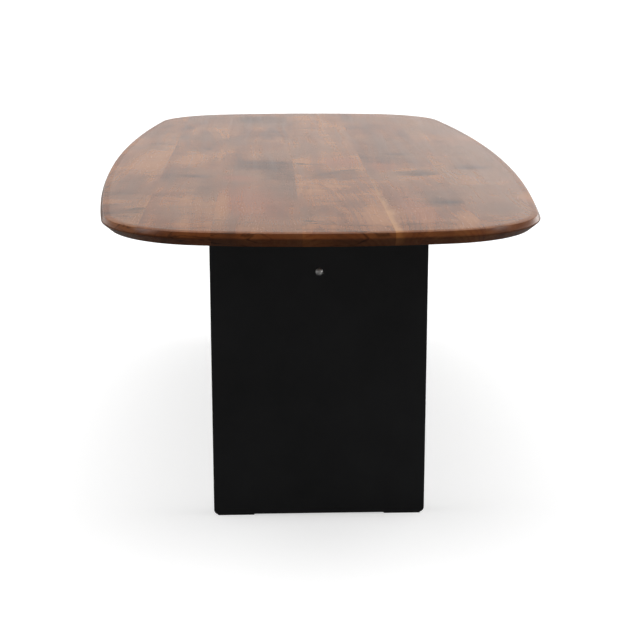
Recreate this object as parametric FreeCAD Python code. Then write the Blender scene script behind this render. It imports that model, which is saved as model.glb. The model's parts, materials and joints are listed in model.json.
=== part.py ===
"""Walnut plank table: a barrel-shaped solid wood top on two black steel leg panels.

The top is six full-length planks glued edge to edge, kept in line by loose tenons and kept flat by
two steel channels let into its underside. Each leg panel is a hollow box of folded sheet steel: an
outer shell, a welded inner cover and two upright ribs. A mounting plate on each leg panel is screwed
into threaded inserts in the top, and a rectangular stretcher tube is bolted between the panels.

Units are millimetres. +X is across the table, +Y is along it and +Z is up. The origin is on the
floor below the middle of the table. "Front" is the end at -Y and "rear" is the end at +Y.
"""

import math
import os

import FreeCAD
import Part

Vector = FreeCAD.Vector
UP = Vector(0, 0, 1)
ALONG = Vector(0, 1, 0)

# Overall size
TABLE_LENGTH = 2400.0
TABLE_WIDTH = 1080.0
TABLE_HEIGHT = 760.0
TOP_THICKNESS = 32.0

# Plan outline: two long arcs, two end arcs and four corner arcs, all tangent
SIDE_RADIUS = 7500.0
END_RADIUS = 1460.0
CORNER_RADIUS = 260.0

# Edge profile, from the flat top to the flat underside: (inset, depth, rounding radius). The roundings
# are drawn as single flats, so that the planks' ends are cut through cones and not through thin tori.
EDGE_PROFILE = (
    (18.0, 0.0, 160.0),  # soft roll towards the edge
    (5.0, 1.9, 2.2),  # upper arris
    (0.0, 13.5, 3.0),  # widest line
    (19.5, TOP_THICKNESS, 3.0),  # foot of the under-bevel
)
EDGE_MARGIN = 40.0  # where both faces are surely flat

# Planks, by the X places of the glue lines between them
GLUE_LINES = (-388.0, -234.0, -48.0, 141.0, 329.0)

# Loose tenons across each glue line
TENON_LENGTH = 40.0
TENON_WIDTH = 22.0
TENON_THICKNESS = 8.0
TENON_PITCH = 300.0
TENONS_PER_LINE = 7

# Steel channels across the underside
CHANNEL_Y = 420.0
CHANNEL_LENGTH = 900.0
CHANNEL_WIDTH = 40.0
CHANNEL_DEPTH = 12.0
CHANNEL_WALL = 3.0
GROOVE_CLEARANCE = 0.5
GROOVE_END_CLEARANCE = 3.0
CHANNEL_SCREW_X = (-425.0, -310.0, -190.0, -70.0, 70.0, 190.0, 310.0, 425.0)
CHANNEL_SLOT_LENGTH = 12.0
CHANNEL_INSERT_RADIUS = 5.0
CHANNEL_INSERT_LENGTH = 10.0
CHANNEL_SCREW_RADIUS = 3.0
CHANNEL_SCREW_HEAD_RADIUS = 6.0
CHANNEL_SCREW_LENGTH = 20.0
CHANNEL_SCREW_KEY = 4.0

# Leg panels
PANEL_WIDTH = 505.0
PANEL_DEPTH = 50.0
PANEL_SETBACK = 400.0  # from the table's end to the panel's outer face
PANEL_SHEET = 3.0
PANEL_FOOT_CORNER = 12.0
PANEL_HEAD_CORNER = 3.5
PANEL_BEND_RADIUS = 2.0
RIB_X = 130.0
RIB_WIDTH = 40.0
GLIDE_LENGTH = 88.0
GLIDE_WIDTH = 46.0
GLIDE_THICKNESS = 2.5
GLIDE_INSET = 9.0
GLIDE_PEG_RADIUS = 3.0
GLIDE_PEG_LENGTH = 9.0
GLIDE_PEG_PITCH = 56.0

# Mounting plates and their screws
PLATE_THICKNESS = 8.0
PLATE_WIDTH = 490.0
PLATE_DEPTH = 150.0
PLATE_CORNER = 12.0
PLATE_SCREW_X = (-205.0, -75.0, 75.0, 205.0)
PLATE_SCREW_INSET = 36.0  # from the plate's inner edge
PLATE_SLOT_LENGTH = 21.0
PLATE_SCREW_RADIUS = 4.0
PLATE_SCREW_HEAD_RADIUS = 7.0
PLATE_SCREW_HEAD_HEIGHT = 4.6
PLATE_SCREW_KEY = 5.0
PLATE_SCREW_REACH = 15.0  # into the insert
PLATE_INSERT_RADIUS = 7.0
PLATE_INSERT_LENGTH = 18.0
WASHER_RADIUS = 10.5
WASHER_THICKNESS = 1.6

# Stretcher and its bolts
STRETCHER_Z = 596.0
STRETCHER_HEIGHT = 80.0
STRETCHER_WIDTH = 40.0
STRETCHER_WALL = 2.5
STRETCHER_CORNER = 5.0
END_PLATE_HEIGHT = 104.0
END_PLATE_WIDTH = 64.0
END_PLATE_THICKNESS = 8.0
END_PLATE_CORNER = 6.0
BOSS_RADIUS = 11.0
BOSS_LENGTH = 14.0
BOLT_RADIUS = 5.0
BOLT_HEAD_RADIUS = 8.75
BOLT_HEAD_HEIGHT = 5.5
BOLT_KEY = 6.0
BOLT_LENGTH = 70.0
SLEEVE_RADIUS = 10.0
PIN_RADIUS = 4.0
PIN_LENGTH = 14.0
PIN_OFFSET = 38.0
PIN_PROTRUSION = 5.0
HOLE_CLEARANCE = 0.5
THREAD_CLEARANCE = 0.02

# Places that follow from the sizes above
TOP_UNDERSIDE = TABLE_HEIGHT - TOP_THICKNESS
PANEL_OUTER_Y = -(TABLE_LENGTH / 2 - PANEL_SETBACK)
PANEL_INNER_Y = PANEL_OUTER_Y + PANEL_DEPTH
PANEL_FOOT_Z = GLIDE_THICKNESS
PANEL_HEAD_Z = TOP_UNDERSIDE - PLATE_THICKNESS
PLATE_SCREW_Y = PANEL_OUTER_Y + PLATE_DEPTH - PLATE_SCREW_INSET
GROOVE_CEILING = TOP_UNDERSIDE + CHANNEL_DEPTH + GROOVE_CLEARANCE


def box(x0, x1, y0, y1, z0, z1):
    return Part.makeBox(x1 - x0, y1 - y0, z1 - z0, Vector(x0, y0, z0))


def rod(radius, start, axis, length):
    return Part.makeCylinder(radius, length, start, axis)


def fused(solids):
    """One solid from several that touch or overlap."""
    whole = solids[0]
    for solid in solids[1:]:
        whole = whole.fuse(solid)
    return whole.removeSplitter()


def cut_all(solid, tools):
    return solid.cut(Part.makeCompound(tools)) if tools else solid


def rounded_polygon(corners, flats=False):
    """A closed wire through (x, y, radius) corners, each rounded to its radius. With flats, a straight
    line takes the place of each corner's arc."""
    count = len(corners)
    bends = []
    for index, (x, y, radius) in enumerate(corners):
        here = Vector(x, y, 0)
        if not radius:
            bends.append((here, here, None))
            continue
        before = Vector(*corners[index - 1][:2], 0) - here
        after = Vector(*corners[(index + 1) % count][:2], 0) - here
        before.normalize()
        after.normalize()
        half = before.getAngle(after) / 2
        run = radius / math.tan(half)
        middle = before + after
        middle.normalize()
        centre = here + middle * (radius / math.sin(half))
        bends.append((here + before * run, here + after * run, centre - middle * radius))
    edges = []
    for index, (start, end, middle) in enumerate(bends):
        if middle is not None and flats:
            edges.append(Part.makeLine(start, end))
        elif middle is not None:
            edges.append(Part.Arc(start, middle, end).toShape())
        following = bends[(index + 1) % count][0]
        if (following - end).Length > 1e-6:
            edges.append(Part.makeLine(end, following))
    return Part.Wire(edges)


def rounded_rectangle(width, height, radius):
    """A closed wire centred on the origin in the XY plane."""
    x, y = width / 2, height / 2
    corners = [(-x, -y), (x, -y), (x, y), (-x, y)]
    return rounded_polygon([(px, py, radius) for px, py in corners])


def facing_along(shape, y, z):
    """Turns a shape drawn in the XY plane to stand in the XZ plane at that Y, its middle at height z."""
    placed = shape.copy()
    placed.rotate(Vector(), Vector(1, 0, 0), 90)
    placed.translate(Vector(0, y, z))
    return placed


def prism(wire, direction):
    return Part.Face(wire).extrude(direction)


def slot_prism(length, radius, height, centre):
    """An upright prism with round ends that runs along X."""
    wire = rounded_rectangle(length, 2 * radius, radius * 0.999)
    solid = prism(wire, UP * height)
    solid.translate(centre)
    return solid


def hexagon_prism(across_flats, start, axis, depth):
    corner = across_flats / math.sqrt(3)
    turns = [math.radians(60 * index) for index in range(7)]
    wire = Part.makePolygon([Vector(corner * math.cos(a), corner * math.sin(a), 0) for a in turns])
    solid = prism(wire, UP * depth)
    solid.Placement = FreeCAD.Placement(start, FreeCAD.Rotation(UP, axis))
    return solid


def button_screw(radius, length, head_radius, head_height, key, seat, axis):
    """A screw with a domed head and hexagon socket; seat is under the head, axis points along the shank."""
    dome_radius = (head_radius**2 + head_height**2) / (2 * head_height)
    dome = Part.makeSphere(dome_radius, Vector(0, 0, -head_height + dome_radius))
    head = Part.makeCylinder(head_radius, head_height, Vector(0, 0, -head_height)).common(dome)
    flat = rod(key * 0.78, Vector(0, 0, -head_height), UP, 0.35)
    socket = hexagon_prism(key, Vector(0, 0, -head_height), UP, head_height * 0.62)
    tip = 0.8
    shank = Part.makeCylinder(radius, length - tip)
    point = Part.makeCone(radius, radius - tip, tip, Vector(0, 0, length - tip))
    screw = fused([head, shank, point]).cut(flat).cut(socket)
    screw.Placement = FreeCAD.Placement(seat, FreeCAD.Rotation(UP, axis))
    return screw


def countersunk_screw(radius, length, head_radius, key, face, axis):
    """A flush screw; face is the middle of its head's flat, axis points along the shank."""
    cone = head_radius - radius
    head = Part.makeCone(head_radius, radius, cone)
    shank = Part.makeCylinder(radius, length)
    socket = hexagon_prism(key, Vector(0, 0, 0), UP, cone * 0.8)
    screw = fused([head, shank]).cut(socket)
    screw.Placement = FreeCAD.Placement(face, FreeCAD.Rotation(UP, axis))
    return screw


def threaded_insert(radius, bore, length, mouth):
    """A ribbed steel sleeve set upwards into the wood from its mouth."""
    groove_depth = 0.5
    groove_pitch = 2.5
    body = rod(radius, mouth, UP, length).cut(rod(bore, mouth, UP, length))
    rings = []
    for index in range(1, int(length / groove_pitch)):
        foot = mouth + UP * (index * groove_pitch)
        ring = rod(radius + 1, foot, UP, 0.8).cut(rod(radius - groove_depth, foot, UP, 0.8))
        rings.append(ring)
    return cut_all(body, rings)


# The plan outline


def outline_arcs(inset):
    """The eight arcs of the outline, counter-clockwise, as (centre, radius, start angle, sweep) in degrees."""
    side_centre = Vector(TABLE_WIDTH / 2 - SIDE_RADIUS, 0, 0)
    end_centre = Vector(0, TABLE_LENGTH / 2 - END_RADIUS, 0)
    # The corner arc's centre lies where the two arcs, drawn in by the corner radius, cross.
    side_reach = SIDE_RADIUS - CORNER_RADIUS
    end_reach = END_RADIUS - CORNER_RADIUS
    apart = end_centre - side_centre
    along = (side_reach**2 - end_reach**2 + apart.Length**2) / (2 * apart.Length)
    aside = math.sqrt(side_reach**2 - along**2)
    forward = Vector(apart).normalize()
    left = Vector(-forward.y, forward.x, 0)
    corner = side_centre + forward * along + left * aside
    side_turn = math.degrees(math.atan2(corner.y - side_centre.y, corner.x - side_centre.x))
    end_turn = math.degrees(math.atan2(corner.y - end_centre.y, corner.x - end_centre.x))
    arcs = []
    for turned in (0, 180):
        rotation = FreeCAD.Rotation(UP, turned)
        mirrored_corner = Vector(-corner.x, corner.y, 0)
        pieces = (
            (side_centre, SIDE_RADIUS, -side_turn, 2 * side_turn),
            (corner, CORNER_RADIUS, side_turn, end_turn - side_turn),
            (end_centre, END_RADIUS, end_turn, 180 - 2 * end_turn),
            (mirrored_corner, CORNER_RADIUS, 180 - end_turn, end_turn - side_turn),
        )
        for centre, radius, start, sweep in pieces:
            arcs.append((rotation.multVec(centre), radius - inset, start + turned, sweep))
    return arcs


def outline_wire(inset, z):
    edges = []
    for centre, radius, start, sweep in outline_arcs(inset):
        points = []
        for angle in (start, start + sweep / 2, start + sweep):
            a = math.radians(angle)
            points.append(centre + Vector(radius * math.cos(a), radius * math.sin(a), z))
        edges.append(Part.Arc(*points).toShape())
    return Part.Wire(edges)


def edge_profile():
    """The edge's section as a face in the XZ plane: X is the distance out from the widest line, Z the height."""
    corners = [(-EDGE_MARGIN, 0.0, 0)]
    corners += [(-inset, -depth, radius) for inset, depth, radius in EDGE_PROFILE]
    corners += [(-EDGE_MARGIN, -TOP_THICKNESS, 0)]
    section = rounded_polygon(corners, flats=True)
    section.rotate(Vector(), Vector(1, 0, 0), 90)
    section.translate(Vector(-section.BoundBox.XMax, 0, TABLE_HEIGHT))
    return Part.Face(section)


def top_blank():
    """The whole top before it is divided into planks: a flat core and the edge turned round each arc."""
    section = edge_profile()
    core = prism(outline_wire(-section.BoundBox.XMin, TOP_UNDERSIDE), UP * TOP_THICKNESS)
    solids = [core]
    for centre, radius, start, sweep in outline_arcs(0):
        turned = section.copy()
        turned.translate(Vector(radius, 0, 0))
        turned.rotate(Vector(), UP, start)
        turned.translate(centre)
        solids.append(turned.revolve(centre, UP, sweep))
    return fused(solids)


# Wooden parts


def tenon_centres(glue_line):
    reach = TENON_PITCH * (TENONS_PER_LINE - 1) / 2
    z = (TABLE_HEIGHT + TOP_UNDERSIDE) / 2
    return [Vector(glue_line, -reach + TENON_PITCH * index, z) for index in range(TENONS_PER_LINE)]


def tenon(centre):
    wire = rounded_rectangle(TENON_WIDTH, TENON_THICKNESS, TENON_THICKNESS * 0.499)
    solid = prism(wire, UP * TENON_LENGTH)
    solid.rotate(Vector(), UP, 90)
    solid.rotate(Vector(), ALONG, 90)
    solid.translate(centre - Vector(TENON_LENGTH / 2, 0, 0))
    return solid


def channel_groove(y):
    half_length = CHANNEL_LENGTH / 2 + GROOVE_END_CLEARANCE
    half_width = CHANNEL_WIDTH / 2 + GROOVE_CLEARANCE
    return box(-half_length, half_length, y - half_width, y + half_width, TOP_UNDERSIDE - 1, GROOVE_CEILING)


def insert_pockets():
    """Everything that is bored or routed out of the top's underside."""
    pockets = []
    for y in (-CHANNEL_Y, CHANNEL_Y):
        pockets.append(channel_groove(y))
        for x in CHANNEL_SCREW_X:
            pockets.append(rod(CHANNEL_INSERT_RADIUS, Vector(x, y, GROOVE_CEILING), UP, CHANNEL_INSERT_LENGTH))
    for y in (PLATE_SCREW_Y, -PLATE_SCREW_Y):
        for x in PLATE_SCREW_X:
            pockets.append(rod(PLATE_INSERT_RADIUS, Vector(x, y, TOP_UNDERSIDE), UP, PLATE_INSERT_LENGTH))
    return pockets


def planks():
    blank = cut_all(top_blank(), insert_pockets())
    bounds = (-TABLE_WIDTH, *GLUE_LINES, TABLE_WIDTH)
    parts = {}
    for number, (low, high) in enumerate(zip(bounds, bounds[1:]), start=1):
        slab = box(low, high, -TABLE_LENGTH, TABLE_LENGTH, 0, 2 * TABLE_HEIGHT)
        mortises = [tenon(centre) for line in GLUE_LINES if line in (low, high) for centre in tenon_centres(line)]
        parts[f"plank_{number}"] = cut_all(blank.common(slab), mortises)
    return parts


def tenons():
    parts = {}
    for number, line in enumerate(GLUE_LINES, start=1):
        parts[f"tenons_glue_line_{number}"] = Part.makeCompound([tenon(centre) for centre in tenon_centres(line)])
    return parts


# Hardware in the top


def channel(y):
    """A steel channel with its legs up in the groove and its web flush with the underside."""
    half = CHANNEL_WIDTH / 2
    length = CHANNEL_LENGTH / 2
    web_top = TOP_UNDERSIDE + CHANNEL_WALL
    outside = box(-length, length, y - half, y + half, TOP_UNDERSIDE, TOP_UNDERSIDE + CHANNEL_DEPTH)
    hollow = box(-length, length, y - half + CHANNEL_WALL, y + half - CHANNEL_WALL, web_top, GROOVE_CEILING)
    holes = []
    for x in CHANNEL_SCREW_X:
        seat = Vector(x, y, TOP_UNDERSIDE)
        width = CHANNEL_SCREW_RADIUS + HOLE_CLEARANCE
        holes.append(slot_prism(CHANNEL_SLOT_LENGTH, width, CHANNEL_WALL, seat))
        sink = CHANNEL_SCREW_HEAD_RADIUS + HOLE_CLEARANCE
        holes.append(Part.makeCone(sink, sink - CHANNEL_WALL, CHANNEL_WALL, seat))
    return cut_all(outside.cut(hollow), holes)


def channel_screws(y):
    screws = []
    for x in CHANNEL_SCREW_X:
        face = Vector(x, y, TOP_UNDERSIDE)
        size = (CHANNEL_SCREW_RADIUS, CHANNEL_SCREW_LENGTH, CHANNEL_SCREW_HEAD_RADIUS, CHANNEL_SCREW_KEY)
        screws.append(countersunk_screw(*size, face, UP))
    return Part.makeCompound(screws)


def channel_inserts(y):
    bore = CHANNEL_SCREW_RADIUS + THREAD_CLEARANCE
    mouths = [Vector(x, y, GROOVE_CEILING) for x in CHANNEL_SCREW_X]
    return Part.makeCompound(
        [threaded_insert(CHANNEL_INSERT_RADIUS, bore, CHANNEL_INSERT_LENGTH, mouth) for mouth in mouths]
    )


# The front leg panel and what is on it; the rear one is the same, turned round


def panel_outline(inset):
    """The leg panel's outline standing in the XZ plane at its outer face, drawn in by inset."""
    half = PANEL_WIDTH / 2 - inset
    foot = PANEL_FOOT_Z + inset
    head = PANEL_HEAD_Z - inset
    foot_corner = PANEL_FOOT_CORNER - inset
    head_corner = PANEL_HEAD_CORNER - inset
    corners = [
        (-half, foot, foot_corner),
        (half, foot, foot_corner),
        (half, head, head_corner),
        (-half, head, head_corner),
    ]
    return facing_along(rounded_polygon(corners), PANEL_OUTER_Y, 0)


def bolt_hole(y, length):
    return rod(BOLT_RADIUS + HOLE_CLEARANCE, Vector(0, y, STRETCHER_Z), ALONG, length)


def peg_places():
    """The glide pegs' axes, as (side, x)."""
    middle = PANEL_WIDTH / 2 - GLIDE_INSET - GLIDE_LENGTH / 2
    return [(side, side * middle + way * GLIDE_PEG_PITCH / 2) for side in (-1, 1) for way in (-1, 1)]


def leg_panel_shell():
    """A tray of folded sheet: the outer face with a rim all round."""
    block = prism(panel_outline(0), ALONG * PANEL_DEPTH)
    outer = min(block.Faces, key=lambda face: face.CenterOfMass.y)
    block = block.makeFillet(PANEL_BEND_RADIUS, outer.Edges)
    hollow = prism(panel_outline(PANEL_SHEET), ALONG * PANEL_DEPTH)
    hollow.translate(ALONG * PANEL_SHEET)
    middle_y = (PANEL_OUTER_Y + PANEL_INNER_Y) / 2
    holes = [bolt_hole(PANEL_OUTER_Y - 1, PANEL_SHEET + 2)]
    for _, x in peg_places():
        holes.append(rod(GLIDE_PEG_RADIUS, Vector(x, middle_y, 0), UP, PANEL_FOOT_Z + PANEL_SHEET))
    return cut_all(block.cut(hollow), holes)


def leg_panel_cover():
    """The inner sheet, set between the rim's edges and flush with them."""
    sheet = prism(panel_outline(PANEL_SHEET), ALONG * PANEL_SHEET)
    sheet.translate(ALONG * (PANEL_DEPTH - PANEL_SHEET))
    start = PANEL_INNER_Y - PANEL_SHEET
    holes = [bolt_hole(start - 1, PANEL_SHEET + 2)]
    for z in (STRETCHER_Z - PIN_OFFSET, STRETCHER_Z + PIN_OFFSET):
        holes.append(rod(PIN_RADIUS + HOLE_CLEARANCE / 2, Vector(0, start - 1, z), ALONG, PANEL_SHEET + 2))
    return cut_all(sheet, holes)


def leg_panel_ribs():
    """Two upright channels inside the panel, from its foot to its head."""
    near, far = PANEL_OUTER_Y + PANEL_SHEET, PANEL_INNER_Y - PANEL_SHEET
    low, high = PANEL_FOOT_Z + PANEL_SHEET, PANEL_HEAD_Z - PANEL_SHEET
    ribs = []
    for side in (-1, 1):
        outside, inside = side * (RIB_X + RIB_WIDTH / 2), side * (RIB_X - RIB_WIDTH / 2)
        web = outside - side * PANEL_SHEET
        whole = box(*sorted((inside, outside)), near, far, low, high)
        hollow = box(*sorted((inside, web)), near + PANEL_SHEET, far - PANEL_SHEET, low, high)
        ribs.append(whole.cut(hollow))
    return Part.makeCompound(ribs)


def mounting_plate():
    wire = rounded_rectangle(PLATE_WIDTH, PLATE_DEPTH, PLATE_CORNER)
    plate = prism(wire, UP * PLATE_THICKNESS)
    plate.translate(Vector(0, PANEL_OUTER_Y + PLATE_DEPTH / 2, PANEL_HEAD_Z))
    slots = []
    for x in PLATE_SCREW_X:
        foot = Vector(x, PLATE_SCREW_Y, PANEL_HEAD_Z)
        slots.append(slot_prism(PLATE_SLOT_LENGTH, PLATE_SCREW_RADIUS + HOLE_CLEARANCE, PLATE_THICKNESS, foot))
    return cut_all(plate, slots)


def mounting_washers():
    washers = []
    for x in PLATE_SCREW_X:
        foot = Vector(x, PLATE_SCREW_Y, PANEL_HEAD_Z - WASHER_THICKNESS)
        disc = rod(WASHER_RADIUS, foot, UP, WASHER_THICKNESS)
        washers.append(disc.cut(rod(PLATE_SCREW_RADIUS + HOLE_CLEARANCE / 2, foot, UP, WASHER_THICKNESS)))
    return Part.makeCompound(washers)


def mounting_screws():
    length = WASHER_THICKNESS + PLATE_THICKNESS + PLATE_SCREW_REACH
    size = (PLATE_SCREW_RADIUS, length, PLATE_SCREW_HEAD_RADIUS, PLATE_SCREW_HEAD_HEIGHT, PLATE_SCREW_KEY)
    seats = [Vector(x, PLATE_SCREW_Y, PANEL_HEAD_Z - WASHER_THICKNESS) for x in PLATE_SCREW_X]
    return Part.makeCompound([button_screw(*size, seat, UP) for seat in seats])


def mounting_inserts():
    bore = PLATE_SCREW_RADIUS + THREAD_CLEARANCE
    mouths = [Vector(x, PLATE_SCREW_Y, TOP_UNDERSIDE) for x in PLATE_SCREW_X]
    return Part.makeCompound(
        [threaded_insert(PLATE_INSERT_RADIUS, bore, PLATE_INSERT_LENGTH, mouth) for mouth in mouths]
    )


def crush_sleeve():
    """Keeps the bolt from drawing the panel's two sheets together."""
    start = Vector(0, PANEL_OUTER_Y + PANEL_SHEET, STRETCHER_Z)
    length = PANEL_DEPTH - 2 * PANEL_SHEET
    return rod(SLEEVE_RADIUS, start, ALONG, length).cut(bolt_hole(start.y, length))


def stretcher_bolt():
    seat = Vector(0, PANEL_OUTER_Y, STRETCHER_Z)
    return button_screw(BOLT_RADIUS, BOLT_LENGTH, BOLT_HEAD_RADIUS, BOLT_HEAD_HEIGHT, BOLT_KEY, seat, ALONG)


def stretcher_end_plate():
    """The stretcher's end, with a threaded boss behind it inside the tube."""
    wire = facing_along(rounded_rectangle(END_PLATE_WIDTH, END_PLATE_HEIGHT, END_PLATE_CORNER), 0, STRETCHER_Z)
    plate = prism(wire, ALONG * END_PLATE_THICKNESS)
    plate.translate(ALONG * PANEL_INNER_Y)
    back = Vector(0, PANEL_INNER_Y + END_PLATE_THICKNESS, STRETCHER_Z)
    boss = rod(BOSS_RADIUS, back, ALONG, BOSS_LENGTH)
    face = Vector(0, PANEL_INNER_Y, STRETCHER_Z)
    depth = END_PLATE_THICKNESS + BOSS_LENGTH
    holes = [rod(BOLT_RADIUS + THREAD_CLEARANCE, face, ALONG, depth)]
    for offset in (-PIN_OFFSET, PIN_OFFSET):
        holes.append(rod(PIN_RADIUS, face + UP * offset, ALONG, END_PLATE_THICKNESS))
    return cut_all(fused([plate, boss]), holes)


def locating_pins():
    """Two pins pressed into the end plate that stop the stretcher from turning on its one bolt."""
    pins = []
    for offset in (-PIN_OFFSET, PIN_OFFSET):
        start = Vector(0, PANEL_INNER_Y - PIN_PROTRUSION, STRETCHER_Z + offset)
        pins.append(rod(PIN_RADIUS, start, ALONG, PIN_PROTRUSION + END_PLATE_THICKNESS))
    return Part.makeCompound(pins)


def glide(side):
    """A nylon strip with two pegs pushed into the panel's foot."""
    middle_x = side * (PANEL_WIDTH / 2 - GLIDE_INSET - GLIDE_LENGTH / 2)
    middle_y = (PANEL_OUTER_Y + PANEL_INNER_Y) / 2
    strip = prism(rounded_rectangle(GLIDE_LENGTH, GLIDE_WIDTH, 3.0), UP * GLIDE_THICKNESS)
    strip.translate(Vector(middle_x, middle_y, 0))
    pegs = [
        rod(GLIDE_PEG_RADIUS, Vector(x, middle_y, 0), UP, GLIDE_PEG_LENGTH)
        for peg_side, x in peg_places()
        if peg_side == side
    ]
    return fused([strip, *pegs])


def stretcher_tube():
    """A rectangular tube between the two end plates."""
    reach = -PANEL_INNER_Y - END_PLATE_THICKNESS
    outer = rounded_rectangle(STRETCHER_WIDTH, STRETCHER_HEIGHT, STRETCHER_CORNER)
    inner = rounded_rectangle(
        STRETCHER_WIDTH - 2 * STRETCHER_WALL, STRETCHER_HEIGHT - 2 * STRETCHER_WALL, STRETCHER_CORNER - STRETCHER_WALL
    )
    solids = [prism(facing_along(wire, -reach, STRETCHER_Z), ALONG * 2 * reach) for wire in (outer, inner)]
    return solids[0].cut(solids[1])


def base_parts():
    """Everything that both ends of the table have, as {name: the front one}."""
    return {
        "leg_panel_shell": leg_panel_shell(),
        "leg_panel_cover": leg_panel_cover(),
        "leg_panel_ribs": leg_panel_ribs(),
        "mounting_plate": mounting_plate(),
        "mounting_washers": mounting_washers(),
        "mounting_screws": mounting_screws(),
        "mounting_inserts": mounting_inserts(),
        "crush_sleeve": crush_sleeve(),
        "stretcher_bolt": stretcher_bolt(),
        "stretcher_end_plate": stretcher_end_plate(),
        "locating_pins": locating_pins(),
        "glide_left": glide(-1),
        "glide_right": glide(1),
        "channel": channel(-CHANNEL_Y),
        "channel_screws": channel_screws(-CHANNEL_Y),
        "channel_inserts": channel_inserts(-CHANNEL_Y),
    }


def all_parts():
    parts = {**planks(), **tenons(), "stretcher_tube": stretcher_tube()}
    for name, shape in base_parts().items():
        parts[f"{name}_front"] = shape
        turned = shape.copy()
        turned.rotate(Vector(), UP, 180)
        parts[f"{name}_rear"] = turned
    return parts


def main():
    os.makedirs("parts", exist_ok=True)
    for old in os.listdir("parts"):
        os.remove(os.path.join("parts", old))
    for name, shape in all_parts().items():
        if not shape.isValid():
            raise ValueError(f"{name} is not a valid shape")
        shape.exportStep(f"parts/{name}.step")
        print(f"{name}: {len(shape.Solids)} solids, {shape.Volume / 1000:.1f} cm3")


main()
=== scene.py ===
import json
import math

import bmesh
import bpy
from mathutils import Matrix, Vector


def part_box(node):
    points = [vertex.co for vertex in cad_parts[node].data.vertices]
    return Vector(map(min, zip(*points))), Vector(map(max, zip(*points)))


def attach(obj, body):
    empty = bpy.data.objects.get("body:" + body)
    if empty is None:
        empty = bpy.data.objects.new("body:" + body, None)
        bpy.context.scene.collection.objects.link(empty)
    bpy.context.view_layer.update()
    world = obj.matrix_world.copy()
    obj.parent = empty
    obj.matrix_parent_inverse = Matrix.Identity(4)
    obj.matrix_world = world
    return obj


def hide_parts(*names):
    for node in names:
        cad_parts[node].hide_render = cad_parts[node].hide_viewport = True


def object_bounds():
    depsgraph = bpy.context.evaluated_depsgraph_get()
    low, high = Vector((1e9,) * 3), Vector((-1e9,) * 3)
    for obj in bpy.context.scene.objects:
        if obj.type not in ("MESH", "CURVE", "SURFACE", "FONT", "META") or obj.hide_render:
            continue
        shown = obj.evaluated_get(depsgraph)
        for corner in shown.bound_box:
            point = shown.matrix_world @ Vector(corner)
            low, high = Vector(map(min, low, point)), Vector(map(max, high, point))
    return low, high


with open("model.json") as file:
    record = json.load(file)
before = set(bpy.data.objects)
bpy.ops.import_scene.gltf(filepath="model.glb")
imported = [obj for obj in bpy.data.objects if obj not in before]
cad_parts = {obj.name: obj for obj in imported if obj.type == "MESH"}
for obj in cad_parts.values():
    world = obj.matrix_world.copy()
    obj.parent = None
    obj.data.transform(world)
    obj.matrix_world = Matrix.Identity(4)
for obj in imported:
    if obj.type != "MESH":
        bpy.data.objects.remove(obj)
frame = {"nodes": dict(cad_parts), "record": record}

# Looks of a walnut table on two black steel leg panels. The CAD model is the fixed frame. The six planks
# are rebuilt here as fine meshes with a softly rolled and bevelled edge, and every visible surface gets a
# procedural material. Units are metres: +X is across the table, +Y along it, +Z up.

CAD_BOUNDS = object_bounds()

# Plan outline of the top: two long arcs, two end arcs and four corner arcs, all tangent
SIDE_RADIUS = 7.5
END_RADIUS = 1.46
CORNER_RADIUS = 0.26
ARC_STEPS = {"side": 96, "end": 64, "corner": 40}

# Edge profile, from the flat top to the flat underside: (inset, depth, rounding radius, steps)
EDGE_PROFILE = (
    (0.0600, 0.0, 5.500, 14),
    (0.0170, 0.0006, 0.2600, 10),
    (0.0065, 0.0012, 0.0022, 8),
    (0.0, 0.0135, 0.0045, 8),
    (0.0220, None, 0.0060, 8),
)
FLAT_RINGS = (0.130, 0.115)  # insets of two rings where both faces are flat

# Grooves in the underside, which hold the steel channels
GROOVE_CLEARANCE = 0.0005
GROOVE_END_CLEARANCE = 0.003
GROOVE_OVERCUT = 0.01  # how far the cutter reaches below the underside

SHARP_ANGLE = 28  # degrees; flatter edges are shaded smooth
CUT_TOLERANCE = 1e-7

# The sky's brightness as fractions of white, and the limits between which it changes, as components of
# the direction: +Y is behind the table, +Z is up and +X is to the right
SKY_FRONT = 0.15
SKY_BACK = 0.54
SKY_TURN = (-0.85, -0.1)
SKY_LOW = 2.35
SKY_HIGH = 0.42
SKY_RISE = (-0.02, 0.35)

# A brighter patch low on the right: how much brighter than its surroundings, and how little of that is
# left higher up
GLARE = 1.6
GLARE_SIDE = (0.05, 0.35)
GLARE_RISE = (0.09, 0.17)
GLARE_LEFT_OVER = 0.12

# Soft lights: (name, strength, spread, lean to the back, lean to the right), the last three in degrees
SUNS = (
    ("overhead_light", 2.1, 70.0, 8.0, 0.0),
    ("side_light_left", 0.75, 22.0, 0.0, -50.0),
    ("side_light_right", 0.75, 22.0, 0.0, 50.0),
)

STAGE_RADIUS = 90.0
FLOOR_REFLECTION = 0.61
FLOOR_GLOW = 0.54
BOUNCE_REFLECTION = 0.15
BOUNCE_Z = -0.001

CAMERA_PLACE = (-0.1206, -4.0435, 1.2865)
CAMERA_PITCH = -13.93
CAMERA_YAW = -2.16
CAMERA_LENS = 80.85
CAMERA_SENSOR = 36.0
CAMERA_REACH = 200.0

PLANKS = [f"plank_{number}" for number in range(1, 7)]
TOP_Z = CAD_BOUNDS[1].z
UNDERSIDE_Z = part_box("plank_3")[0].z
HALF_WIDTH = CAD_BOUNDS[1].x
HALF_LENGTH = CAD_BOUNDS[1].y


# Node building


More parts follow.
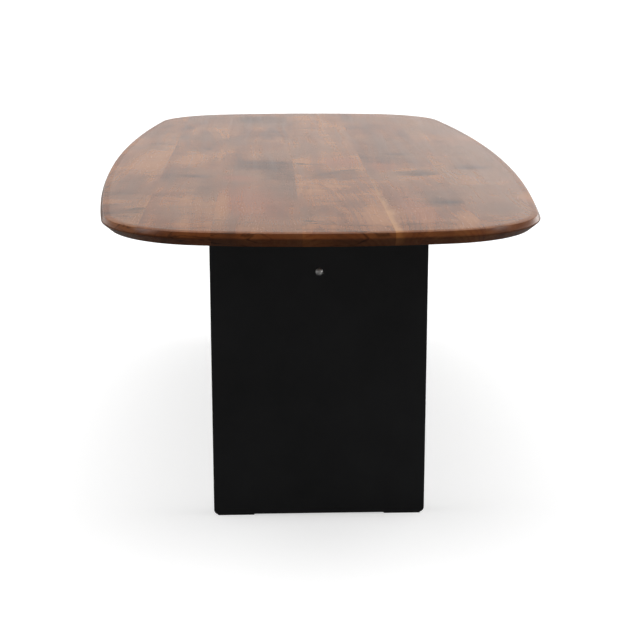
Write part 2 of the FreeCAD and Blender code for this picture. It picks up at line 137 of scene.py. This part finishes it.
class Shader:
    """A material around one Principled shader, with short calls that add its nodes."""

    def __init__(self, name):
        self.material = bpy.data.materials.new(name)
        self.material.use_nodes = True
        self.tree = self.material.node_tree
        self.tree.nodes.clear()
        self.surface = self.node("ShaderNodeBsdfPrincipled")
        output = self.node("ShaderNodeOutputMaterial")
        self.tree.links.new(self.surface.outputs[0], output.inputs["Surface"])
        self.place = self.node("ShaderNodeTexCoord").outputs["Object"]

    def node(self, kind, inputs=None, **settings):
        made = self.tree.nodes.new(kind)
        for key, value in settings.items():
            setattr(made, key, value)
        for key, value in (inputs or {}).items():
            self.put(made.inputs[key], value)
        return made

    def put(self, socket, value):
        if isinstance(value, bpy.types.NodeSocket):
            self.tree.links.new(value, socket)
        else:
            socket.default_value = value

    def set(self, **values):
        """Sets the Principled shader's sockets; an underscore in a name stands for a space."""
        for key, value in values.items():
            self.put(self.surface.inputs[key.replace("_", " ")], value)

    def math(self, operation, a, b=0.0, clamp=False):
        return self.node("ShaderNodeMath", {0: a, 1: b}, operation=operation, use_clamp=clamp).outputs[0]

    def vector_math(self, operation, a, b):
        return self.node("ShaderNodeVectorMath", {0: a, 1: b}, operation=operation).outputs[0]

    def stretched(self, vector, scale, shift=(0, 0, 0)):
        """The vector times scale, plus shift."""
        made = self.node("ShaderNodeMapping", {"Vector": vector, "Location": shift, "Scale": scale})
        return made.outputs[0]

    def noise(self, vector, detail, roughness, output="Fac"):
        inputs = {"Vector": vector, "Scale": 1.0, "Detail": detail, "Roughness": roughness, "Distortion": 0.0}
        return self.node("ShaderNodeTexNoise", inputs).outputs[output]

    def even_noise(self, scale, detail, roughness=0.6):
        """Noise with the same scale along every axis."""
        return self.noise(self.stretched(self.place, (scale, scale, scale)), detail, roughness)

    def smooth(self, value, low, high, to_low=0.0, to_high=1.0):
        """A smooth step of value from low to high."""
        inputs = {"Value": value, "From Min": low, "From Max": high, "To Min": to_low, "To Max": to_high}
        return self.node("ShaderNodeMapRange", inputs, interpolation_type="SMOOTHSTEP").outputs[0]

    def mix(self, factor, a, b, blend="MIX"):
        made = self.node("ShaderNodeMix", data_type="RGBA", blend_type=blend, clamp_factor=True)
        self.put(made.inputs[0], factor)
        self.put(made.inputs[6], a)
        self.put(made.inputs[7], b)
        return made.outputs[2]

    def ramp(self, value, stops):
        made = self.node("ShaderNodeValToRGB", {"Fac": value})
        elements = made.color_ramp.elements
        while len(elements) < len(stops):
            elements.new(0.5)
        for element, (position, colour) in zip(elements, stops):
            element.position = position
            element.color = colour
        return made.outputs[0]

    def bump(self, height, strength, distance):
        inputs = {"Height": height, "Strength": strength, "Distance": distance}
        return self.node("ShaderNodeBump", inputs).outputs[0]

    def times(self, a, b):
        return self.math("MULTIPLY", a, b)

    def plus(self, a, b):
        return self.math("ADD", a, b)


def rgb(red, green, blue):
    return (red, green, blue, 1.0)


# Walnut


WALNUT_DARK = rgb(0.110, 0.040, 0.016)
WALNUT_MIDDLE = rgb(0.235, 0.088, 0.033)
WALNUT_LIGHT = rgb(0.350, 0.150, 0.058)
WALNUT_PALE = rgb(0.200, 0.100, 0.055)
WALNUT_GREY = rgb(0.078, 0.029, 0.011)
WALNUT_RED = rgb(0.290, 0.092, 0.038)
WALNUT_SAP = rgb(0.480, 0.240, 0.095)
WALNUT_KNOT = rgb(0.022, 0.009, 0.004)
# Partly painted shade: these two tints darken the edge faces and the sawn ends beyond the wood's own deeper
# tone there.
OILED_EDGE_AND_SHADE_TINT = rgb(0.92, 0.86, 0.80)
END_GRAIN_AND_SHADE_TINT = rgb(0.74, 0.60, 0.46)

# For each plank: its seed, the pith's place below it (across, down), the tree's taper, how light and how
# pale it is, and its marks. A mark is (kind, x, y, half size across, half size along, turn in degrees,
# strength).
FIGURE = {
    "plank_1": {
        "seed": 3.1, "pith": (0.03, 0.09), "taper": 0.030, "lightness": 0.06, "pale": 0,
        "marks": (
            ("knot", -0.402, -0.885, 0.026, 0.020, 20, 0.8),
            ("knot", -0.432, -0.908, 0.060, 0.014, 39, 0.7),
            ("knot", -0.463, -0.935, 0.026, 0.018, 20, 0.5),
            ("grey", -0.440, -0.920, 0.080, 0.060, 30, 0.6),
            ("knot", -0.446, -0.667, 0.070, 0.011, 8, 0.7),
            ("knot", -0.385, -0.692, 0.030, 0.010, -20, 0.6),
            ("grey", -0.440, -0.640, 0.080, 0.050, 8, 0.5),
            ("light", -0.430, -0.150, 0.090, 0.300, 0, 0.7),
            ("light", -0.470, -0.780, 0.060, 0.050, 0, 0.6),
            ("knot", -0.440, 0.300, 0.050, 0.016, -10, 0.5),
            ("grey", -0.450, 0.620, 0.060, 0.120, -20, 0.5),
        ),
    },
    "plank_2": {
        "seed": 11.7, "pith": (-0.02, 0.14), "taper": 0.022, "lightness": -0.01, "pale": 0,
        "marks": (
            ("grey", -0.310, -0.384, 0.110, 0.045, -26, 0.7),
            ("knot", -0.300, -0.390, 0.080, 0.012, -24, 0.5),
            ("grey", -0.262, -0.560, 0.050, 0.200, 0, 0.5),
            ("light", -0.330, -0.080, 0.080, 0.180, 0, 0.7),
            ("knot", -0.320, 0.125, 0.075, 0.012, 0, 0.7),
            ("knot", -0.285, 0.165, 0.012, 0.022, 0, 0.9),
            ("knot", -0.382, 0.200, 0.008, 0.080, 0, 0.5),
            ("grey", -0.320, 0.200, 0.070, 0.080, 0, 0.4),
            ("knot", -0.308, 0.413, 0.070, 0.016, 4, 0.6),
            ("knot", -0.370, 0.720, 0.024, 0.040, 0, 0.6),
            ("grey", -0.310, 0.760, 0.070, 0.060, 0, 0.4),
            ("light", -0.248, 0.050, 0.016, 0.260, 0, 0.6),
        ),
    },
    "plank_3": {
        "seed": 23.3, "pith": (0.04, 0.07), "taper": 0.035, "lightness": -0.07, "pale": 0.05,
        "marks": (
            ("red", -0.160, -0.800, 0.110, 0.340, 6, 0.6),
            ("light", -0.222, -0.860, 0.022, 0.300, 0, 0.7),
            ("grey", -0.130, -0.180, 0.140, 0.150, 10, 1.0),
            ("grey", -0.085, -0.380, 0.070, 0.170, 10, 0.9),
            ("knot", -0.170, -0.115, 0.070, 0.016, -14, 0.5),
            ("knot", -0.110, -0.250, 0.060, 0.014, 10, 0.5),
            ("red", -0.190, -0.430, 0.055, 0.090, 40, 0.7),
            ("grey", -0.136, 0.980, 0.130, 0.170, 10, 0.9),
        ),
    },
    "plank_4": {
        "seed": 37.9, "pith": (-0.05, 0.11), "taper": 0.028, "lightness": 0.07, "pale": -0.02,
        "marks": (
            ("knot", -0.033, -1.056, 0.024, 0.014, 0, 0.7),
            ("knot", 0.070, -1.110, 0.030, 0.009, 0, 0.6),
            ("knot", -0.032, -0.168, 0.022, 0.022, 0, 0.8),
            ("knot", 0.000, -0.180, 0.060, 0.010, 6, 0.6),
            ("knot", 0.040, -0.360, 0.110, 0.014, 47, 0.7),
            ("knot", 0.087, -0.300, 0.062, 0.013, 31, 0.8),
            ("knot", 0.094, -0.443, 0.060, 0.015, 30, 0.7),
            ("grey", 0.060, -0.370, 0.130, 0.070, 40, 0.6),
            ("light", 0.118, -0.960, 0.034, 0.240, 0, 0.8),
            ("red", 0.090, -0.120, 0.080, 0.140, 0, 0.6),
            ("knot", 0.010, 0.700, 0.070, 0.022, 0, 0.5),
            ("light", 0.050, 1.050, 0.110, 0.120, 0, 0.6),
            ("light", 0.124, 0.450, 0.020, 0.400, 0, 0.5),
        ),
    },
    "plank_5": {
        "seed": 51.1, "pith": (0.01, 0.05), "taper": 0.040, "lightness": -0.04, "pale": -0.02,
        "marks": (
            ("sap", 0.139, -1.260, 0.024, 1.100, 0, 0.75),
            ("red", 0.210, -0.900, 0.060, 0.300, 4, 0.5),
            ("grey", 0.290, -0.810, 0.070, 0.080, -8, 0.9),
            ("knot", 0.304, -0.820, 0.030, 0.020, 0, 0.7),
            ("knot", 0.275, -0.770, 0.026, 0.016, 0, 0.5),
            ("grey", 0.265, -0.352, 0.090, 0.070, 0, 0.9),
            ("knot", 0.285, -0.385, 0.044, 0.018, 14, 1.0),
            ("knot", 0.250, -0.330, 0.060, 0.010, 8, 0.7),
            ("knot", 0.290, -0.300, 0.050, 0.010, 20, 0.7),
            ("grey", 0.258, 0.030, 0.080, 0.045, 0, 0.7),
            ("knot", 0.270, 0.025, 0.070, 0.014, 0, 0.6),
            ("light", 0.312, -1.040, 0.030, 0.140, 0, 0.8),
            ("knot", 0.260, 0.780, 0.080, 0.026, 0, 0.4),
            ("red", 0.190, -0.220, 0.060, 0.120, 0, 0.5),
        ),
    },
    "plank_6": {
        "seed": 67.7, "pith": (-0.06, 0.10), "taper": 0.024, "lightness": 0.03, "pale": 0.09,
        "marks": (
            ("knot", 0.410, -0.264, 0.045, 0.018, 0, 0.9),
            ("knot", 0.455, -0.250, 0.040, 0.010, 10, 0.6),
            ("grey", 0.420, -0.250, 0.080, 0.060, 0, 0.7),
            ("light", 0.494, -0.769, 0.040, 0.120, 0, 0.8),
            ("light", 0.390, -0.480, 0.050, 0.120, 0, 0.5),
            ("grey", 0.400, -0.906, 0.060, 0.120, -10, 0.5),
            ("knot", 0.380, -1.060, 0.050, 0.012, 20, 0.5),
        ),
    },
}
MARK_COLOURS = {
    "grey": WALNUT_GREY,
    "red": WALNUT_RED,
    "light": WALNUT_LIGHT,
    "sap": WALNUT_SAP,
    "knot": WALNUT_KNOT,
}
RAGGED_KINDS = ("grey", "knot")

RING_SPACING = 0.0105
RING_UNEVEN = 0.016
RING_SWELL = {"knot": 0.020, "grey": 0.012}  # how far a mark pushes the growth rings aside
SWELL_SIZE = (2.0, 1.5)  # the swell's size as multiples of the mark's, across and along

# Noises of the wood: features in a metre across the plank and along it, detail, roughness, and the axes
# on which the plank's seed shifts it
NOISES = {
    "sway": (5.0, 1.6, 2.0, 0.5, (1, 1, 0)),
    "rag": (34.0, 14.0, 4.0, 0.6, (1, 0, 0)),
    "uneven": (16.0, 2.4, 3.0, 0.5, (1, 1, 1)),
    "clear": (6.0, 2.2, 2.0, 0.5, (0, 1, 1)),
    "cloud": (7.0, 2.6, 2.0, 0.6, (0, 1, 1)),
    "flame": (8.0, 15.0, 2.0, 0.6, (1, 1, 0)),
    "band": (26.0, 0.7, 1.0, 0.5, (1, 0, 1)),
    "streak": (70.0, 1.6, 2.0, 0.5, (1, 0, 1)),
    "fibre": (300.0, 3.0, 1.0, 0.5, (0, 1, 0)),
    "pore": (1600.0, 26.0, 2.0, 0.5, (1, 0, 0)),
    "feather": (9.0, 38.0, 4.0, 0.6, (1, 0, 0)),
    "hue": (6.0, 4.0, 3.0, 0.5, (0, 0, 1)),
    "crossing": (3.4, 15.0, 4.0, 0.5, (1, 1, 1)),
    "patchy": (5.0, 3.0, 2.0, 0.5, (1, 0, 1)),
}
SWAY_REACH = (0.07, 0.10, 0.02)  # slow waviness of the grain, in metres
RAG_REACH = (0.030, 0.026, 0.0)  # raggedness of the marks' rims

# What each layer adds to the wood's tone, which the colour ramp then turns into a colour
TONE_START = -0.60
TONE_WEIGHTS = {"cloud": 0.96, "flame": 0.50, "band": 0.48, "streak": 0.28, "fibre": 0.12, "late": -0.12}
TONE_STOPS = ((0.22, WALNUT_DARK), (0.50, WALNUT_MIDDLE), (0.78, WALNUT_LIGHT))
PALE_STRENGTH = 0.6
LINE_HALF_WIDTH = 0.012
LINE_STRENGTH = 0.6
FIBRE_STRENGTH = 0.03
PORE_STRENGTH = 0.055

GLOSS = 0.5
EDGE_GLOSS = 0.20
WALNUT_IOR = 1.3


class Walnut(Shader):
    """The parts of one plank's wood."""

    def __init__(self, name, plank):
        super().__init__(name)
        self.figure = FIGURE[plank]
        low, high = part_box(plank)
        self.middle = (low.x + high.x) / 2
        # The grain wanders slowly, and the rims of the marks are ragged.
        self.swayed = self.wandering("sway", SWAY_REACH)
        self.torn = self.wandering("rag", RAG_REACH)

    def grain(self, name, vector, output="Fac"):
        """The named noise, drawn out along the plank and different on each plank."""
        across, along, detail, roughness, axes = NOISES[name]
        shift = [axis * self.figure["seed"] for axis in axes]
        moved = self.stretched(vector, (across, along, across), shift)
        return self.noise(moved, detail, roughness, output)

    def wandering(self, name, reach):
        """The place on the plank, pushed about by a noise."""
        push = self.vector_math("SUBTRACT", self.grain(name, self.place, "Color"), (0.5, 0.5, 0.5))
        return self.vector_math("ADD", self.place, self.vector_math("MULTIPLY", push, reach))

    def oval(self, vector, x, y, half_width, half_length, turn):
        """1 at the middle of an oval on the top, falling smoothly to 0 at its rim."""
        inputs = {
            "Vector": vector,
            "Location": (x, y, TOP_Z),
            "Rotation": (0, 0, math.radians(turn)),
            "Scale": (half_width, half_length, 0.05),
        }
        inside = self.node("ShaderNodeMapping", inputs, vector_type="TEXTURE").outputs[0]
        falloff = self.node("ShaderNodeTexGradient", {"Vector": inside}, gradient_type="SPHERICAL")
        return self.smooth(falloff.outputs["Fac"], 0.0, 0.75)

    def swell(self):
        """How far the knots and grey streaks push the growth rings aside."""
        total = 0.0
        for kind, x, y, half_width, half_length, turn, strength in self.figure["marks"]:
            if kind not in RING_SWELL:
                continue
            wide, long = SWELL_SIZE
            around = self.oval(self.swayed, x, y, half_width * wide, half_length * long, turn)
            total = self.plus(self.times(around, RING_SWELL[kind] * strength), total)
        return total

    def late_wood(self):
        """The dark part of each growth ring: rings round a pith below the plank, widened by the taper."""
        pith_x, pith_depth = self.figure["pith"]
        split = self.node("ShaderNodeSeparateXYZ", {0: self.swayed})
        across = self.math("SUBTRACT", split.outputs["X"], self.middle + pith_x)
        down = self.math("SUBTRACT", split.outputs["Z"], TOP_Z - pith_depth)
        radius = self.math("SQRT", self.plus(self.times(across, across), self.times(down, down)))
        radius = self.plus(radius, self.times(split.outputs["Y"], self.figure["taper"]))
        radius = self.plus(radius, self.swell())
        radius = self.plus(radius, self.times(self.grain("uneven", self.place), RING_UNEVEN))
        turn = self.math("FRACT", self.math("DIVIDE", radius, RING_SPACING))
        late = self.times(self.smooth(turn, 0.35, 0.85), self.smooth(turn, 1.0, 0.85))
        return self.times(late, self.smooth(self.grain("clear", self.place), 0.46, 0.62, 0.15, 1.0))

    def plain_colour(self, layers):
        """The colour of the wood before its marks."""
        tone = self.figure["lightness"] + TONE_START
        for layer, weight in TONE_WEIGHTS.items():
            tone = self.plus(self.times(layers[layer], weight), tone)
        hue = self.plus(self.grain("hue", self.swayed), self.figure["pale"])
        paleness = self.smooth(hue, 0.42, 0.66, 0.0, PALE_STRENGTH)
        return self.mix(paleness, self.ramp(tone, TONE_STOPS), WALNUT_PALE)

    def marked(self, colour):
        """The colour with the plank's marks on it; dark marks break up into crosswise streaks."""
        feathered = self.smooth(self.grain("feather", self.torn), 0.42, 0.57, 0.45, 1.0)
        for kind, x, y, half_width, half_length, turn, strength in self.figure["marks"]:
            amount = self.times(self.oval(self.torn, x, y, half_width, half_length, turn), strength)
            if kind in RAGGED_KINDS:
                amount = self.times(amount, feathered)
            colour = self.mix(amount, colour, MARK_COLOURS[kind])
        return colour

    def lined(self, colour):
        """The colour with, here and there, a fine dark line of crossed grain."""
        off_line = self.math("ABSOLUTE", self.math("SUBTRACT", self.grain("crossing", self.swayed), 0.5))
        patchy = self.smooth(self.grain("patchy", self.place), 0.44, 0.56, 0.0, LINE_STRENGTH)
        return self.mix(self.times(self.smooth(off_line, LINE_HALF_WIDTH, 0.0), patchy), colour, WALNUT_KNOT)


def walnut(name, plank):
    """Oiled walnut for one plank: growth rings of a tapered trunk, fibres, pores and its own marks."""
    wood = Walnut(name, plank)
    layers = {"late": wood.late_wood()}
    for layer in ("cloud", "flame", "band", "streak", "fibre"):
        layers[layer] = wood.grain(layer, wood.swayed)
    fibre = layers["fibre"]
    pore = wood.smooth(wood.grain("pore", wood.swayed), 0.58, 0.70)

    colour = wood.lined(wood.marked(wood.plain_colour(layers)))
    colour = wood.mix(wood.smooth(fibre, 0.60, 0.40, 0.0, FIBRE_STRENGTH), colour, WALNUT_DARK)
    colour = wood.mix(wood.times(pore, PORE_STRENGTH), colour, WALNUT_KNOT)

    # The rounded edge soaks up more oil and the sawn ends more still, and both are darkened further by
    # painted shade. Its gentle part is less glossy.
    geometry = wood.node("ShaderNodeNewGeometry")
    normal = wood.node("ShaderNodeSeparateXYZ", {0: geometry.outputs["True Normal"]})
    level = wood.times(normal.outputs["Z"], normal.outputs["Z"])
    slope = wood.math("SQRT", wood.math("SUBTRACT", 1.0, level, clamp=True))
    rounded = wood.smooth(slope, 0.003, 0.030)
    end = wood.smooth(wood.math("ABSOLUTE", normal.outputs["Y"]), 0.2, 0.7)
    colour = wood.mix(rounded, colour, OILED_EDGE_AND_SHADE_TINT, "MULTIPLY")
    colour = wood.mix(end, colour, END_GRAIN_AND_SHADE_TINT, "MULTIPLY")
    matt = wood.times(rounded, wood.smooth(slope, 0.40, 0.10))

    roughness = wood.plus(wood.times(layers["streak"], 0.06), 0.20)
    roughness = wood.plus(roughness, wood.times(fibre, 0.03))
    roughness = wood.plus(roughness, wood.times(pore, 0.03))
    height = wood.math("SUBTRACT", wood.times(fibre, 0.5), pore)
    wood.set(Base_Color=colour, Roughness=roughness, Normal=wood.bump(height, 0.03, 0.0001))
    wood.set(Specular_IOR_Level=wood.smooth(matt, 0.0, 1.0, GLOSS, EDGE_GLOSS), IOR=WALNUT_IOR)
    return wood.material


# Metals and plastics


def powder_coat():
    """Matte black with the fine orange-peel texture of textured powder."""
    shader = Shader("black_powder_coat")
    grain = shader.even_noise(1400.0, 3.0)
    cloud = shader.even_noise(7.0, 4.0)
    shade = shader.plus(shader.times(grain, 0.6), shader.times(cloud, 0.4))
    colour = shader.ramp(shade, ((0.3, rgb(0.021, 0.021, 0.022)), (0.7, rgb(0.040, 0.040, 0.042))))
    roughness = shader.plus(shader.times(cloud, 0.16), 0.50)
    normal = shader.bump(grain, 0.5, 0.0003)
    shader.set(Base_Color=colour, Roughness=roughness, Normal=normal, Specular_IOR_Level=0.15)
    return shader.material


def steel(name, light, dark, roughness):
    """Bare or plated steel with fine turning marks and faint stains."""
    shader = Shader(name)
    fine = shader.even_noise(2600.0, 3.0)
    stain = shader.even_noise(160.0, 4.0)
    colour = shader.mix(shader.smooth(stain, 0.35, 0.65), dark, light)
    rough = shader.plus(shader.times(fine, 0.18), roughness)
    normal = shader.bump(fine, 0.25, 0.0001)
    shader.set(Base_Color=colour, Roughness=rough, Normal=normal, Metallic=1.0)
    return shader.material


def nylon():
    """Black moulded nylon."""
    shader = Shader("black_nylon")
    grain = shader.even_noise(900.0, 3.0)
    colour = shader.ramp(grain, ((0.3, rgb(0.012, 0.012, 0.013)), (0.7, rgb(0.026, 0.026, 0.027))))
    roughness = shader.plus(shader.times(grain, 0.2), 0.38)
    shader.set(Base_Color=colour, Roughness=roughness, Normal=shader.bump(grain, 0.4, 0.0002))
    return shader.material


def beech():
    """Pale beech with short flecks."""
    shader = Shader("beech")
    streak = shader.noise(shader.stretched(shader.place, (30.0, 400.0, 400.0)), 4.0, 0.6)
    fleck = shader.noise(shader.stretched(shader.place, (160.0, 900.0, 900.0)), 2.0, 0.5)
    colour = shader.ramp(streak, ((0.3, rgb(0.42, 0.25, 0.13)), (0.7, rgb(0.62, 0.42, 0.24))))
    colour = shader.mix(shader.smooth(fleck, 0.60, 0.68, 0.0, 0.5), colour, rgb(0.28, 0.15, 0.08))
    shader.set(Base_Color=colour, Roughness=shader.plus(shader.times(streak, 0.2), 0.5))
    return shader.material


def dress_cad_nodes():
    """Gives every node of the frame the material of its slot."""
    materials = {
        "beech": beech(),
        "black_powder_coat": powder_coat(),
        "stainless_steel": steel("stainless_steel", rgb(0.84, 0.84, 0.82), rgb(0.70, 0.70, 0.68), 0.42),
        "zinc_plated_steel": steel("zinc_plated_steel", rgb(0.80, 0.82, 0.86), rgb(0.60, 0.61, 0.62), 0.40),
        "black_nylon": nylon(),
        "walnut": walnut("walnut", PLANKS[0]),
    }
    for subpart in frame["record"]["subparts"]:
        for slot in frame["nodes"][subpart["node"]].material_slots:
            slot.material = materials[subpart["material_slot"]]


# The top


def outline_arcs():
    """The eight arcs of the outline, counter-clockwise, as (centre, radius, start angle, sweep, steps)."""
    side_centre = Vector((HALF_WIDTH - SIDE_RADIUS, 0))
    end_centre = Vector((0, HALF_LENGTH - END_RADIUS))
    # The corner arc's centre lies where the two arcs, drawn in by the corner radius, cross.
    side_reach = SIDE_RADIUS - CORNER_RADIUS
    end_reach = END_RADIUS - CORNER_RADIUS
    apart = end_centre - side_centre
    along = (side_reach**2 - end_reach**2 + apart.length**2) / (2 * apart.length)
    forward = apart.normalized()
    corner = side_centre + forward * along + forward.orthogonal() * math.sqrt(side_reach**2 - along**2)
    from_side = corner - side_centre
    from_end = corner - end_centre
    side_turn = math.atan2(from_side.y, from_side.x)
    end_turn = math.atan2(from_end.y, from_end.x)
    mirrored = Vector((-corner.x, corner.y))
    corner_sweep = end_turn - side_turn
    arcs = []
    for turned, sign in ((0, 1), (math.pi, -1)):
        arcs += [
            (side_centre * sign, SIDE_RADIUS, turned - side_turn, 2 * side_turn, ARC_STEPS["side"]),
            (corner * sign, CORNER_RADIUS, turned + side_turn, corner_sweep, ARC_STEPS["corner"]),
            (end_centre * sign, END_RADIUS, turned + end_turn, math.pi - 2 * end_turn, ARC_STEPS["end"]),
            (mirrored * sign, CORNER_RADIUS, turned + math.pi - end_turn, corner_sweep, ARC_STEPS["corner"]),
        ]
    return arcs


def outline_ring(inset, z):
    """The outline's points at height z, drawn in by inset."""
    points = []
    for centre, radius, start, sweep, steps in outline_arcs():
        for step in range(steps):
            angle = start + sweep * step / steps
            x = centre.x + (radius - inset) * math.cos(angle)
            y = centre.y + (radius - inset) * math.sin(angle)
            points.append((x, y, z))
    return points


def edge_rings():
    """(inset, depth) of each ring of the edge, from the flat top, round the edge, to the flat underside."""
    thickness = TOP_Z - UNDERSIDE_Z
    corners = [(inset, thickness if depth is None else depth, radius, steps)
               for inset, depth, radius, steps in EDGE_PROFILE]
    path = [(FLAT_RINGS[1], 0.0, 0, 0), *corners, (FLAT_RINGS[1], thickness, 0, 0)]
    rings = [(FLAT_RINGS[0], 0.0), (FLAT_RINGS[1], 0.0)]
    for before, here, after in zip(path, path[1:], path[2:]):
        point = Vector(here[:2])
        back = (Vector(before[:2]) - point).normalized()
        ahead = (Vector(after[:2]) - point).normalized()
        half = back.angle(ahead) / 2
        radius, steps = here[2:]
        run = radius / math.tan(half)
        centre = point + (back + ahead).normalized() * (radius / math.sin(half))
        start = point + back * run - centre
        end = point + ahead * run - centre
        for step in range(steps + 1):
            spoke = start.slerp(end, step / steps) * radius
            rings.append(tuple(centre + spoke))
    rings += [(FLAT_RINGS[1], thickness), (FLAT_RINGS[0], thickness)]
    widest = min(inset for inset, depth in rings)
    return [(inset - widest, depth) for inset, depth in rings]


def whole_top():
    """The top in one piece, as rings of quads round its edge and a flat face above and below."""
    shape = bmesh.new()
    rings = []
    for inset, depth in edge_rings():
        rings.append([shape.verts.new(point) for point in outline_ring(inset, TOP_Z - depth)])
    count = len(rings[0])
    for upper, lower in zip(rings, rings[1:]):
        for index in range(count):
            following = (index + 1) % count
            shape.faces.new((upper[index], lower[index], lower[following], upper[following]))
    shape.faces.new(rings[0])
    shape.faces.new(list(reversed(rings[-1])))
    return shape


def sawn(shape, x, keep_right):
    """Cuts the shape at a glue line, keeps one side and closes it."""
    normal = (-1, 0, 0) if keep_right else (1, 0, 0)
    geometry = shape.verts[:] + shape.edges[:] + shape.faces[:]
    plane = {"plane_co": (x, 0, 0), "plane_no": normal}
    bmesh.ops.bisect_plane(shape, geom=geometry, dist=CUT_TOLERANCE, clear_outer=True, **plane)
    rim = [edge for edge in shape.edges if edge.is_boundary]
    bmesh.ops.edgeloop_fill(shape, edges=rim)


def object_from(shape, name):
    mesh = bpy.data.meshes.new(name)
    shape.to_mesh(mesh)
    shape.free()
    made = bpy.data.objects.new(name, mesh)
    bpy.context.scene.collection.objects.link(made)
    return made


def groove_cutter(channel):
    """A block the size of the groove that holds a channel."""
    low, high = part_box(channel)
    low = low - Vector((GROOVE_END_CLEARANCE, GROOVE_CLEARANCE, GROOVE_OVERCUT))
    high = high + Vector((GROOVE_END_CLEARANCE, GROOVE_CLEARANCE, GROOVE_CLEARANCE))
    shape = bmesh.new()
    bmesh.ops.create_cube(shape, size=1.0)
    for vertex in shape.verts:
        vertex.co = [low[axis] if vertex.co[axis] < 0 else high[axis] for axis in range(3)]
    return object_from(shape, f"cutter_{channel}")


def finish_mesh(piece):
    """Applies the piece's modifiers and shades it smooth except over its sharp edges."""
    graph = bpy.context.evaluated_depsgraph_get()
    piece.data = bpy.data.meshes.new_from_object(piece.evaluated_get(graph))
    piece.modifiers.clear()
    piece.data.shade_smooth()
    piece.data.set_sharp_from_angle(angle=math.radians(SHARP_ANGLE))


def make_planks():
    """Saws the top into planks along the glue lines and cuts the grooves for the steel channels."""
    cutters = [groove_cutter(channel) for channel in ("channel_front", "channel_rear")]
    for plank in PLANKS:
        shape = whole_top()
        low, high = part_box(plank)
        if plank != PLANKS[0]:
            sawn(shape, low.x, keep_right=True)
        if plank != PLANKS[-1]:
            sawn(shape, high.x, keep_right=False)
        bmesh.ops.recalc_face_normals(shape, faces=shape.faces[:])
        piece = object_from(shape, f"walnut_{plank}")
        for cutter in cutters:
            groove = piece.modifiers.new("groove", "BOOLEAN")
            groove.operation = "DIFFERENCE"
            groove.solver = "EXACT"
            groove.object = cutter
        finish_mesh(piece)
        piece.data.materials.clear()
        piece.data.materials.append(walnut(f"walnut_{plank}", plank))
        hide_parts(plank)
        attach(piece, "root")
    for cutter in cutters:
        bpy.data.objects.remove(cutter)


# Studio


def make_disc(name, z):
    """A wide flat disc in the studio."""
    shape = bmesh.new()
    bmesh.ops.create_circle(shape, cap_ends=True, segments=96, radius=STAGE_RADIUS)
    disc = object_from(shape, name)
    disc.location.z = z
    return disc


def plain_shader(thing, reflection):
    """Gives a thing of the studio a plain grey material without gloss."""
    shader = Shader(thing.name)
    shader.set(Base_Color=rgb(reflection, reflection, reflection), Roughness=1.0, Specular_IOR_Level=0.0)
    thing.data.materials.append(shader.material)
    return shader


def glow(shader, strength):
    shader.set(Emission_Color=rgb(1.0, 1.0, 1.0), Emission_Strength=strength)


def show_only_to_camera(thing):
    thing.visible_diffuse = False
    thing.visible_glossy = False
    thing.visible_shadow = False


def make_floor():
    """A wide white floor that shows soft shadows, over a grey one that throws a little light back up."""
    floor = make_disc("floor", 0.0)
    glow(plain_shader(floor, FLOOR_REFLECTION), FLOOR_GLOW)
    show_only_to_camera(floor)
    bounce = make_disc("floor_bounce", BOUNCE_Z)
    plain_shader(bounce, BOUNCE_REFLECTION)
    bounce.visible_camera = False


def make_backdrop():
    """A white surround that only the camera sees."""
    shape = bmesh.new()
    bmesh.ops.create_uvsphere(shape, u_segments=48, v_segments=24, radius=STAGE_RADIUS)
    backdrop = object_from(shape, "backdrop")
    glow(plain_shader(backdrop, 0.0), 1.0)
    show_only_to_camera(backdrop)


def make_sky():
    """Soft light from all round: brightest low behind the table, dim on the side of the camera."""
    world = bpy.data.worlds.new("studio")
    bpy.context.scene.world = world
    world.use_nodes = True
    nodes, links = world.node_tree.nodes, world.node_tree.links

    def follow(socket, limits, to_low, to_high):
        step = nodes.new("ShaderNodeMapRange")
        step.interpolation_type = "SMOOTHSTEP"
        for key, value in zip(("From Min", "From Max", "To Min", "To Max"), (*limits, to_low, to_high)):
            step.inputs[key].default_value = value
        links.new(socket, step.inputs["Value"])
        return step.outputs[0]

    def combine(operation, a, b):
        made = nodes.new("ShaderNodeMath")
        made.operation = operation
        links.new(a, made.inputs[0])
        if isinstance(b, bpy.types.NodeSocket):
            links.new(b, made.inputs[1])
        else:
            made.inputs[1].default_value = b
        return made.outputs[0]

    split = nodes.new("ShaderNodeSeparateXYZ")
    links.new(nodes.new("ShaderNodeTexCoord").outputs["Generated"], split.inputs[0])
    right, back, up = split.outputs
    shade = follow(back, SKY_TURN, SKY_FRONT, SKY_BACK)
    shade = combine("MULTIPLY", shade, follow(up, SKY_RISE, SKY_LOW, SKY_HIGH))
    glare = follow(right, GLARE_SIDE, 0.0, GLARE)
    glare = combine("MULTIPLY", glare, follow(up, GLARE_RISE, 1.0, GLARE_LEFT_OVER))
    sky = combine("MULTIPLY", shade, combine("ADD", glare, 1.0))
    links.new(sky, nodes["Background"].inputs["Color"])


def make_sun(name, strength, spread, lean_back, lean_right):
    """A soft light from far above, leaning by the given degrees from straight overhead."""
    data = bpy.data.lights.new(name, "SUN")
    data.angle = math.radians(spread)
    data.energy = strength
    light = bpy.data.objects.new(name, data)
    light.rotation_euler = (math.radians(-lean_back), math.radians(lean_right), 0)
    bpy.context.scene.collection.objects.link(light)


def make_camera():
    data = bpy.data.cameras.new("camera")
    data.lens = CAMERA_LENS
    data.sensor_width = CAMERA_SENSOR
    data.clip_end = CAMERA_REACH
    camera = bpy.data.objects.new("camera", data)
    camera.location = CAMERA_PLACE
    camera.rotation_euler = (math.radians(90 + CAMERA_PITCH), 0, math.radians(CAMERA_YAW))
    bpy.context.scene.collection.objects.link(camera)
    bpy.context.scene.camera = camera


dress_cad_nodes()
make_planks()
make_floor()
make_backdrop()
make_sky()
for sun in SUNS:
    make_sun(*sun)
make_camera()
bpy.context.scene.view_settings.view_transform = "Standard"
